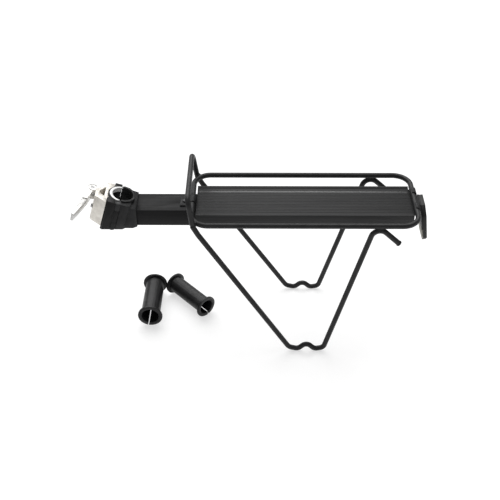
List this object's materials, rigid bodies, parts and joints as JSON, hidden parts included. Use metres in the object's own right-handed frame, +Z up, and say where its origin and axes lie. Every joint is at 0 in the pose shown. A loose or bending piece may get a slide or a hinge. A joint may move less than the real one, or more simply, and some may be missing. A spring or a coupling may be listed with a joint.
{
  "type": "rear rack",
  "caption": "Seatpost-mounted bicycle rear rack: quick-release clamp, beam, grooved deck, wire rail with front hoop, V-shaped side struts, rear reflector and split shims.",
  "frame": {"origin": "on the axis of the seatpost bore at half its height", "axes": "+X rearward along the beam, +Z up, -Y to the bicycle's left; the bore leans 17 degrees from +Z towards +X"},
  "size_m": [0.5409, 0.1612, 0.2944],
  "materials": {
    "clamp_black": "satin powder coat on cast aluminium",
    "gate_black": "satin powder coat",
    "liner_bare": "bare machined bore",
    "housing_grey": "moulded grey-beige plastic",
    "pad_rubber": "matt moulded rubber",
    "pin_steel": "plain ground steel",
    "yoke_silver": "bright tumbled casting",
    "screw_steel": "zinc plated",
    "bolt_steel": "bright plated",
    "lever_silver": "polished forging",
    "beam_black": "satin black anodised extrusion",
    "deck_black": "satin black anodised extrusion",
    "wire_black": "semi-gloss powder coat on steel wire",
    "strap_black": "semi-gloss powder coat on steel strip",
    "screw_black": "black oxide",
    "cap_plastic": "moulded black plastic",
    "lens_red": "prismatic red lens",
    "shim_plastic": "moulded black nylon"
  },
  "bodies": {
    "rack": {"clamp_body": "clamp_black", "saddle_pad": "pad_rubber", "gate_hinge_pin": "screw_black", "bolt_ear_pin": "pin_steel", "support_beam": "beam_black", "beam_end_cap": "cap_plastic", "spigot_screws": "screw_black", "deck_plate": "deck_black", "deck_screws": "screw_black", "top_rail": "wire_black", "front_hoop": "wire_black", "left_strut": "wire_black", "right_strut": "wire_black", "strut_end_caps": "cap_plastic", "front_rail_strap": "strap_black", "rear_rail_straps": "strap_black", "strap_screws": "screw_black", "reflector_bracket": "strap_black", "reflector_housing": "housing_grey", "reflector_lens": "lens_red", "reflector_screws": "screw_steel"},
    "gate": {"clamp_gate": "gate_black", "gate_liner": "liner_bare", "clamp_yoke": "yoke_silver", "yoke_screw": "screw_steel"},
    "bolt": {"swing_bolt": "bolt_steel", "cam_washer": "bolt_steel"},
    "lever": {"quick_release_lever": "lever_silver", "lever_pin": "pin_steel"},
    "large_shim": {"shim_large": "shim_plastic"},
    "small_shim": {"shim_small": "shim_plastic"}
  },
  "joints": [
    {"name": "gate_hinge", "type": "hinge", "parent": "rack", "child": "gate", "pos_m": [-0.00335, -0.0223, 0.00102], "axis": [0.2924, 0, 0.9563], "range_deg": [0, 3]},
    {"name": "bolt_swing", "type": "hinge", "parent": "rack", "child": "bolt", "pos_m": [0.00574, 0.022, -0.00175], "axis": [-0.2924, 0, -0.9563], "range_deg": [0, 80]},
    {"name": "lever_cam", "type": "hinge", "parent": "bolt", "child": "lever", "pos_m": [-0.04399, 0.022, 0.01345], "axis": [-0.2924, 0, -0.9563], "range_deg": [0, 150]},
    {"name": "large_shim_lift", "type": "slide", "parent": "rack", "child": "large_shim", "axis": [0, 0, 1], "range_m": [0, 0.15]},
    {"name": "small_shim_lift", "type": "slide", "parent": "rack", "child": "small_shim", "axis": [0, 0, 1], "range_m": [0, 0.15]}
  ]
}
